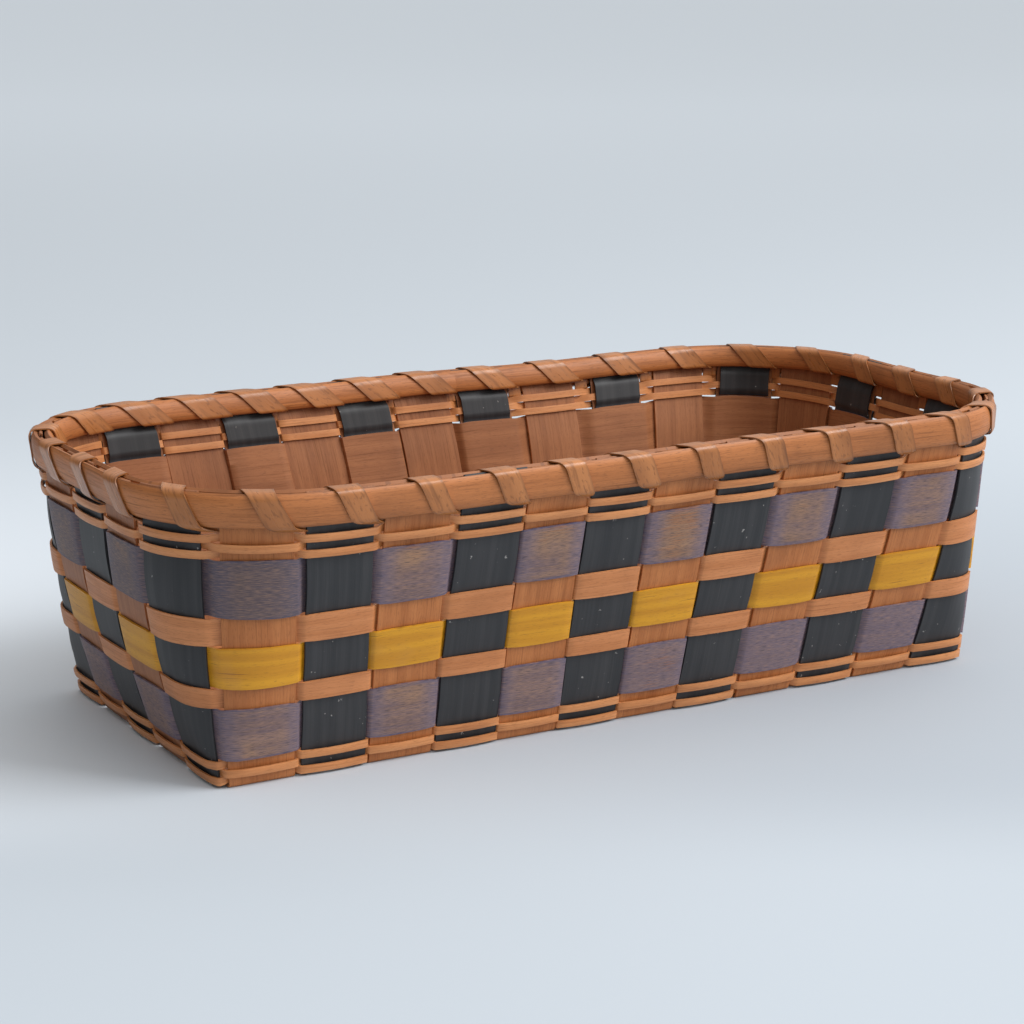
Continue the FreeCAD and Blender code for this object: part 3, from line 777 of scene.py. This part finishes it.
def wall_part(stake, foot, facing):
    """(rows, paint, thickness) of a stake from its top end down to its fold."""
    dark = 1.0 if is_dark(stake) else 0.0
    rows, paint, full = [], [], []

    def add(height, offset, share, half=HALF_WIDTH, kept=1.0):
        rows.append(wall_row(stake, height, offset, facing, half))
        paint.append(dark * kept)
        full.append(share)

    top = STAKE_TOP
    if is_dark(stake):
        thin = TAIL_THICK / STAKE_THICK
        kept = 1.0 if stake in DARK_FOLDS else CRACKED
        held = EDGES["upper_blue_weaver"][1]
        bend = RIM + 0.2 - TAIL_STEP / 2 - TAIL_THICK / 2
        # The ends next to the basket's corners stop above that weaver.
        corner = stake % (CROSS + LONG) in (0, CROSS - 1, CROSS, CROSS + LONG - 1)
        path = [] if corner else [(held - TUCK, TAIL_STEP)]
        path += [
            (held + 0.3, TAIL_STEP),
            (EDGES["top_weaver_2"][0] - 0.5, HUNG_STEP + ROOM),
            (EDGES["top_weaver_3"][1] + 0.5, HUNG_STEP + ROOM),
            (INNER_LOW - 0.3, TAIL_STEP),
            (bend, TAIL_STEP),
        ]
        for (low, near), (high, far) in zip(path, path[1:]):
            steps = max(1, round(high - low))
            for i in range(steps):
                share = i / steps
                height = low + (high - low) * share
                widening = smooth((height - INNER_LOW) / NARROWING)
                half = HALF_TAIL + (HALF_WIDTH - HALF_TAIL) * widening
                add(height, -near - (far - near) * smooth(share), thin, half)
        for i in range(7):
            angle = math.pi * i / 6
            height = bend + TAIL_STEP / 2 * math.sin(angle)
            add(height, -TAIL_STEP / 2 * (1 + math.cos(angle)), thin, kept=kept)
        top = bend - 0.8
    steps = round((top - foot) / SPACING)
    for i in range(steps):
        height = top + (foot + FOLD - top) * i / (steps - 1)
        add(height, push(stake, height), 1.0)
    return rows, paint, full


print("rows on a dark end:", len(wall_part(1, BASE_MIDDLE, 1)[0]))

# %% [markdown]
# In the base, a stake passes under and over the stakes that it crosses. At each
# end it turns up into the wall on a small round fold. Base and walls could be
# pieces of their own, but one grid lets the grain run through from rim to rim.

# %% Whole stakes
# Stations over a crossing, and the shares of a bend.
CROSSING = (-0.98, -0.5, 0, 0.5, 0.98)
QUARTERS = (0.0, 0.25, 0.5, 0.75, 1.0)
BENDS = QUARTERS[1:-1]
# How far the paint goes on under the base.
PAINT_UNDER = 14


def curve_weights(t):
    """How much the start, the corner and the end count on a rounded corner."""
    return (1 - t) ** 2, 2 * t * (1 - t), t * t


def bent(before, corner, after):
    """Rows that round a corner between two rows."""
    rows = []
    for t in BENDS:
        start, turn, end = curve_weights(t)
        rows.append([a * start + b * turn + c * end for a, b, c in zip(before, corner, after)])
    return rows


def even_places(side, count):
    """Evenly spaced places along a side of the foot, from its middle."""
    return [side * ((n + 0.5) / count - 0.5) for n in range(count)]


LENGTH, WIDTH = side_lengths(foot_shape)[:2]
CROSS_EVEN, LONG_PLACES = even_places(LENGTH, CROSS), even_places(WIDTH, LONG)
CROSS_PLACES = [place - shift for place, shift in zip(CROSS_EVEN, BASE_SHIFT[::-1])]


def stake_piece(name, first, last, crossed, low_first, materials):
    """A whole stake. crossed are the places of the stakes that it crosses, and
    low_first says whether it passes under the first of them."""
    if first < CROSS:
        quarter, reach, even = 0.0, foot_shape[1], CROSS_EVEN[first]
    else:
        quarter, reach, even = math.pi / 2, foot_shape[0], LONG_PLACES[first - CROSS]
    travel = Vector((math.cos(quarter), math.sin(quarter), 0))
    forward = Vector((-math.sin(quarter), math.cos(quarter), 0))
    middle = travel * (even + foot_shift(first))

    def level(index):
        low = (index % 2 == 0) == low_first
        return BASE_MIDDLE + (-BASE_STEP if low else BASE_STEP)

    def base_row(distance, height):
        return [middle + travel * (a * HALF_WIDTH) + forward * distance + Vector((0, 0, height))
                for a in SIDEWAYS]

    last_index = len(crossed) - 1
    rows, down_paint, full = wall_part(first, level(0), 1)
    near = base_row(-reach + FOLD, level(0))
    rows += bent(rows[-1], base_row(-reach, level(0)), near)
    base = [near]
    for index, place in enumerate(crossed):
        base += [base_row(place + a * HALF_WIDTH, level(index)) for a in CROSSING]
        if index < last_index:
            start, end = place + HALF_WIDTH, crossed[index + 1] - HALF_WIDTH
            for t in QUARTERS:
                height = level(index) + (level(index + 1) - level(index)) * smooth(t)
                base.append(base_row(start + (end - start) * t, height))
    far = base_row(reach - FOLD, level(last_index))
    base.append(far)
    rows += base
    up_rows, up_paint, up_full = wall_part(last, level(last_index), -1)
    rows += bent(far, base_row(reach, level(last_index)), up_rows[-1]) + up_rows[::-1]

    # The paint ends a little way under the base.
    down, up = down_paint[-1], up_paint[-1]
    under = []
    for row in base:
        distance = (row[MIDDLE] - middle).dot(forward)
        at_first, at_last = distance < PAINT_UNDER - reach, distance > reach - PAINT_UNDER
        under.append(down * at_first + up * at_last)
    paint = down_paint + [down] * len(BENDS) + under + [up] * len(BENDS) + up_paint[::-1]
    full += [1.0] * (2 * len(BENDS) + len(base)) + up_full[::-1]
    piece = splint(name + "_splint", rows, STAKE_THICK, materials, SPLINT_EDGE, paint, full)
    keep(piece, name)


for n in range(CROSS):
    slot = "dark_splint" if is_dark(n) else "plain_splint"
    outer = dark_paint if is_dark(n) else plain_wood
    stake_piece(f"cross_stake_{n + 1:02d}", n, 2 * CROSS + LONG - 1 - n, LONG_PLACES,
                not is_dark(n), [outer, inner_wood])
for n in range(LONG):
    stake_piece(f"long_stake_{n + 1}", CROSS + n, STAKES - 1 - n, CROSS_PLACES,
                not is_dark(CROSS + n), [dark_paint, inner_wood])
print("stakes:", CROSS + LONG)

# %% [markdown]
# The two rim hoops. Each is a thick bent band, flat where it lies against the
# stakes and shaved round on its other face. Its ends are shaved to wedges that
# lie on each other in the middle of the rear side. A profile swept along a
# curve would give the band, but not the wedges. A sheet gives both: a vertex
# group thins its Solidify modifier towards the edges and the ends.

# %% The rim hoops
# Up the hoop: the share of its height, and of its thickness there.
PROFILE = [(0.0, 0.55), (0.08, 0.82), (0.25, 1.0), (0.6, 1.0),
           (0.82, 0.88), (0.94, 0.68), (1.0, 0.45)]
# Half the length of the joint, the edges' wear, and the rows for each stake.
HALF_JOINT, HOOP_EDGE, HOOP_ROWS = 15.0, 0.5, 8


def hoop_piece(name, foot, seat, side, ease):
    """A hoop from its foot to the rim. seat is where its flat face rests, side
    is 1 for the outer one and -1 for the inner one, and ease rounds its
    corners."""
    start = CROSS + LONG + CROSS / 2
    half = HOOP_THICK / 2
    rows, full = [], []
    ends = HALF_JOINT / sum(side_lengths(rim_shape)) * STAKES
    total = STAKES + 2 * ends
    steps = STAKES * HOOP_ROWS
    for i in range(steps + 1):
        share = i / steps
        travelled = total * share
        count = start - ends + travelled
        wedge = min(travelled, total - travelled) / (2 * ends)
        wedge = min(1.0, max(wedge, 0.0))
        lean = (1 - wedge) * half * (-1 if share < 0.5 else 1)
        row = []
        for up, thick in PROFILE:
            height = foot + (RIM - foot) * up
            shape = outline(height, seat + side * half * thick + lean * thick, ease)
            point, _ = walk(along_wall(count, shape), shape)
            row.append(point + Vector((0, 0, height)))
        rows.append(row)
        full.append(wedge)
    piece = splint(name + "_band", rows, HOOP_THICK, [hoop_wood, hoop_wood], HOOP_EDGE,
                   full=full, cut=[thick for _, thick in PROFILE])
    piece.modifiers["soft_edges"].segments = 3
    keep(piece, name)


hoop_piece("outer_hoop", HOOP_LOW, OUTER_SEAT, 1, 0.0)
hoop_piece("inner_hoop", INNER_LOW, INNER_SEAT, -1, INNER_EASE)
print("hoops: 2")

# %% [markdown]
# The lashing is one thin splint that winds round both hoops, once for each
# stake, and goes through the wall in each gap. One turn is a closed path of
# seven corners with rounded bends, and the path moves on along the rim as it
# goes: it leans more inside than outside. Small chance differences from turn
# to turn make it look wound by hand. One turn copied 34 times would be less
# work, but the gaps differ.

# %% One turn of the lashing
LASH_WIDTH, LASH_THICK, LASH_EDGE = 9.3, 0.5, 0.12
LASH_CLEAR = 0.2 + LASH_THICK / 2
# The rear turns lie wider and higher, and every turn spreads inside the rim.
REAR_WIDER, REAR_RISE, INNER_SPREAD = 1.7, 1.0, 1.2
# How far a turn moves along the rim inside, over the top and outside.
SLANT_IN, SLANT_OVER, SLANT_OUT = 9.0, 4.5, 6.2
# How far under the outer hoop it goes through the wall, and how wide there.
SLOT_DROP, LEAST_STRAND, MOST_STRAND = 2.2, 1.8, 6.0
# The bends at the seven corners of a turn.
RADII = (0.5, 0.5, 1.2, 2.4, 3.2, 1.6, 0.6)
ONE_TURN = (0, 0, 1, 0, 0)
FIFTHS = (0.0, 0.2, 0.4, 0.6, 0.8, 1.0)


def rounded_turn(corners, radii):
    """Points of a closed path with its corners rounded. A corner is a tuple
    of numbers, of which the first two are the offset and the height."""
    points = []
    for i, corner in enumerate(corners):
        before, after = corners[i - 1], corners[(i + 1) % len(corners)]
        if i == 0:
            before = tuple(a - b for a, b in zip(before, ONE_TURN))
        if i == len(corners) - 1:
            after = tuple(a + b for a, b in zip(after, ONE_TURN))
        near, far = [], []
        for other, store in ((before, near), (after, far)):
            length = math.dist(other[:2], corner[:2])
            share = min(radii[i] / length, 0.5)
            store.extend(c + (o - c) * share for c, o in zip(corner, other))
        for t in FIFTHS:
            points.append(tuple(sum(w * v for w, v in zip(curve_weights(t), values))
                                for values in zip(near, corner, far)))
    return points


def pitch_at(count, shape):
    """The distance round an outline to the next stake."""
    return along_wall(count + 1, shape) - along_wall(count, shape)


def gap_place(count, height):
    """The middle of a gap between two stakes, counted in stakes."""
    shape = outline(height)
    middle = (count - 0.5) % STAKES
    pitch = along_wall(middle + 0.5, shape) - along_wall(middle - 0.5, shape)
    return count + (shift_at(count - 1, height) + shift_at(count, height)) / 2 / pitch


def turn_corners(gap):
    """The seven corners of a turn from one gap to the next: the offset, the
    height, how far on, the ease at the basket's corners, and the width."""
    spacing = (gap_place(gap + 1, RIM) - gap_place(gap, RIM)) * pitch_at(gap % STAKES, rim_shape)
    rear = CROSS + LONG < gap % STAKES < 2 * CROSS + LONG
    width = (LASH_WIDTH + (REAR_WIDER if rear else 0.0)) * dice.uniform(0.94, 1.06)
    slant_in = min(SLANT_IN, spacing / 3.2) / spacing
    slant_out = (SLANT_OUT + dice.uniform(-0.6, 0.6)) / spacing
    over = SLANT_OVER / spacing
    lead = (1 - slant_in - slant_out - over) / 2

    slot = HOOP_LOW - SLOT_DROP
    room = stake_middle(gap, slot) - stake_middle(gap - 1, slot)
    room %= sum(side_lengths(outline(slot)))
    strand = max(LEAST_STRAND, min(MOST_STRAND, room - 2 * HALF_WIDTH - 0.1))

    reach = HOOP_THICK + LASH_CLEAR
    inside, outside = INNER_SEAT - reach, OUTER_SEAT + reach
    through = slot + (REAR_RISE if rear else 0.0)
    low, inner_low = HOOP_LOW - LASH_CLEAR, INNER_LOW - LASH_CLEAR
    high = RIM + LASH_CLEAR + 0.2
    return [
        (-STAKE_THICK / 2, through, 0.0, 0.0, strand),
        (-STAKE_THICK / 2, inner_low, 0.0, 0.0, strand),
        (inside, inner_low, lead, INNER_EASE, width * INNER_SPREAD),
        (inside, high, lead + slant_in, INNER_EASE, width * INNER_SPREAD),
        (outside, high, lead + slant_in + over, 0.0, width),
        (outside, low, 1 - lead, 0.0, width),
        (OUTER_SEAT + 0.1, through, 1.0, 0.0, strand),
    ]


print("gaps:", STAKES)

# %% [markdown]
# The strip is the turns one after another, from the middle of the rear side
# round to it again. Each point is looked up on the wall at its own height, so
# that the strip slants where the stakes lean, which a copied turn wouldn't.

# %% The lashing
ACROSS_STRIP = (-1, -0.5, 0, 0.5, 1)


def lashing_rows():
    """The rows of points of the strip, turn after turn."""
    rows = []
    first = CROSS + LONG + CROSS // 2
    for gap in range(first, first + STAKES):
        for offset, height, moved, ease, wide in rounded_turn(turn_corners(gap), RADII):
            shape = outline(height, offset, ease)
            start, end = gap_place(gap, height), gap_place(gap + 1, height)
            middle = along_wall(start + moved * (end - start), shape)
            rows.append([walk(middle + a * wide / 2, shape)[0] + Vector((0, 0, height))
                         for a in ACROSS_STRIP])
    return rows


rows = lashing_rows()
piece = splint("rim_lashing_strip", rows, LASH_THICK, [lash_wood, lash_wood], LASH_EDGE)
keep(piece, "rim_lashing")
length = sum((after[2] - before[2]).length for before, after in zip(rows, rows[1:]))
print("lashing: one strip,", STAKES, "turns,", round(length), "mm long")

# %% [markdown]
# The studio is one large sheet of pale paper that runs on to the horizon, so
# that there is no wall to hide the basket from any side. It is one grid from a
# bmesh operator. A curved backdrop would do as well, but only from one side.
# The paper's tones paint light and shade: it is paler at the basket's left, as
# painted light against the basket's shadow and the panel's fall-off, darker at
# its right and darkest under the light, as painted shade where the panel would
# glare. It is also greyer in front and paler far away.

# %% The floor
VIEW_YAW = math.radians(29.81)
FLOOR_HALF = 12
# A place on the paper near the foot of the light.
NEAR_LIGHT = (1.2, -0.24, 0)
# Painted light at the left, and painted shade at the right and under the panel (LIT_TONE).
LEFT_PAINTED_LIGHT_TONE, RIGHT_PAINTED_SHADE_TONE = (0.73, 0.795, 0.87, 1), (0.45, 0.505, 0.570, 1)
BEHIND_TONE, FAR_TONE = (0.56, 0.622, 0.690, 1), (0.69, 0.765, 0.85, 1)
FRONT_TONE, LIT_TONE = (0.53, 0.592, 0.660, 1), (0.30, 0.335, 0.375, 1)

bm = bmesh.new()
bmesh.ops.create_grid(bm, x_segments=1, y_segments=1, size=FLOOR_HALF)
mesh = bpy.data.meshes.new("studio_floor")
bm.to_mesh(mesh)
bm.free()
floor = bpy.data.objects.new("studio_floor", mesh)
floor.rotation_euler = (0, 0, -VIEW_YAW)
bpy.context.collection.objects.link(floor)
paper = bpy.data.materials.new("studio_paper")
paper.use_nodes = True
mesh.materials.append(paper)
steps = Steps(paper.node_tree)
place = steps.tree.nodes.new("ShaderNodeTexCoord").outputs["Object"]
parts = steps.tree.nodes.new("ShaderNodeSeparateXYZ")
steps.feed(parts.inputs["Vector"], place)
right, away = parts.outputs["X"], parts.outputs["Y"]
from_light = steps.vector_maths("DISTANCE", place, NEAR_LIGHT)
tone = steps.mix(steps.range(right, -0.30, 0.15), LEFT_PAINTED_LIGHT_TONE, RIGHT_PAINTED_SHADE_TONE)
tone = steps.mix(steps.range(away, 0.0, 0.6), tone, BEHIND_TONE)
tone = steps.mix(steps.range(away, 0.8, 3.2), tone, FAR_TONE)
tone = steps.mix(steps.range(away, -0.23, -0.12, 1.0, 0.0), tone, FRONT_TONE)
tone = steps.mix(steps.range(from_light, 0.45, 1.15, 1.0, 0.0), tone, LIT_TONE)
shader = steps.tree.nodes["Principled BSDF"]
steps.feed(shader.inputs["Roughness"], 0.9)
steps.feed(shader.inputs["Base Color"], tone)
print("floor:", [round(side, 1) for side in floor.dimensions])

# %% [markdown]
# The light is one soft panel at the front right, above the basket, and a pale
# sky that fills the shadows. More lamps would make it even from all sides. A
# single panel gives one clear soft shadow and lets the left wall fall darker,
# as daylight from a window does.

# %% The light
SKY_COLOUR = (1.0, 0.985, 0.96, 1)
# Where the sky is brightest.
BRIGHT_SIDE = (0.58, -0.28, 0.77)
DIMMEST, BRIGHTEST = 0.12, 1.12
PANEL_PLACE, PANEL_SIZE, PANEL_WATTS = (1.2, -1.05, 1.5), 1.3, 33

world = bpy.data.worlds.new("soft_sky")
world.use_nodes = True
sky = Steps(world.node_tree)
towards = sky.tree.nodes.new("ShaderNodeTexCoord").outputs["Generated"]
facing = sky.vector_maths("DOT_PRODUCT", towards, BRIGHT_SIDE)
background = sky.tree.nodes["Background"]
sky.feed(background.inputs["Color"], SKY_COLOUR)
sky.feed(background.inputs["Strength"], sky.range(facing, -0.4, 1.0, DIMMEST, BRIGHTEST))
bpy.context.scene.world = world


def soft_panel(name, place, towards, size, power):
    """A square area light aimed at a point."""
    light = bpy.data.lights.new(name, "AREA")
    light.size = size
    light.energy = power
    lamp = bpy.data.objects.new(name, light)
    lamp.location = place
    lamp.rotation_euler = (Vector(towards) - Vector(place)).to_track_quat("-Z", "Y").to_euler()
    bpy.context.collection.objects.link(lamp)


soft_panel("main_panel", PANEL_PLACE, (0, 0, 0), PANEL_SIZE, PANEL_WATTS)
print("lights:", len(bpy.data.lights))

# %% [markdown]
# The camera stands a metre off at the front left, a little above the rim, with
# a long lens. A wide lens close by would show as much of the basket, but it
# would stretch its near corner.

# %% The camera
VIEW_PITCH, VIEW_ROLL = math.radians(13.13), math.radians(-0.03)
lens = bpy.data.cameras.new("camera")
lens.sensor_width = 36.0
lens.lens = 91.16
camera = bpy.data.objects.new("camera", lens)
bpy.context.collection.objects.link(camera)
camera.location = (-0.4986, -0.8567, 0.2971)
camera.rotation_euler = (math.pi / 2 - VIEW_PITCH, VIEW_ROLL, -VIEW_YAW)
bpy.context.scene.camera = camera
bpy.context.scene.view_settings.view_transform = "Standard"
print("lens:", round(lens.lens), "mm")

# %% [markdown]
# They differ by about a millimetre, which is what hand work moves.
